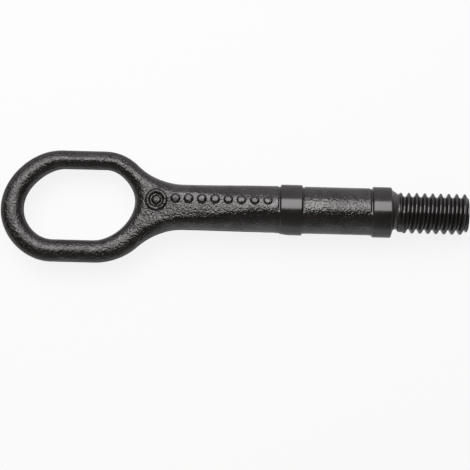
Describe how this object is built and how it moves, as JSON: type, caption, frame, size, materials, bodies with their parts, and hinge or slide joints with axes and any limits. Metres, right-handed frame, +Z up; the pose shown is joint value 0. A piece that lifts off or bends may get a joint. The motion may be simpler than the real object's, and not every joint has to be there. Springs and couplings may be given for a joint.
{
  "type": "tow eye",
  "caption": "Forged steel screw-in tow eye: oval eye, round shank with turned guide collars, and a coarse left-hand thread.",
  "frame": {"origin": "on the shank's axis, at the shoulder where the front guide collar ends and the thread section starts", "axes": "+X along the shank towards the thread's end, XY the plane of the eye, +Z up out of the eye's face as it lies flat"},
  "size_m": [0.2055, 0.0495, 0.0222],
  "materials": {
    "black_steel": "thin satin black coat over forged and turned steel"
  },
  "bodies": {
    "root": {"tow_eye": "black_steel"}
  },
  "joints": []
}
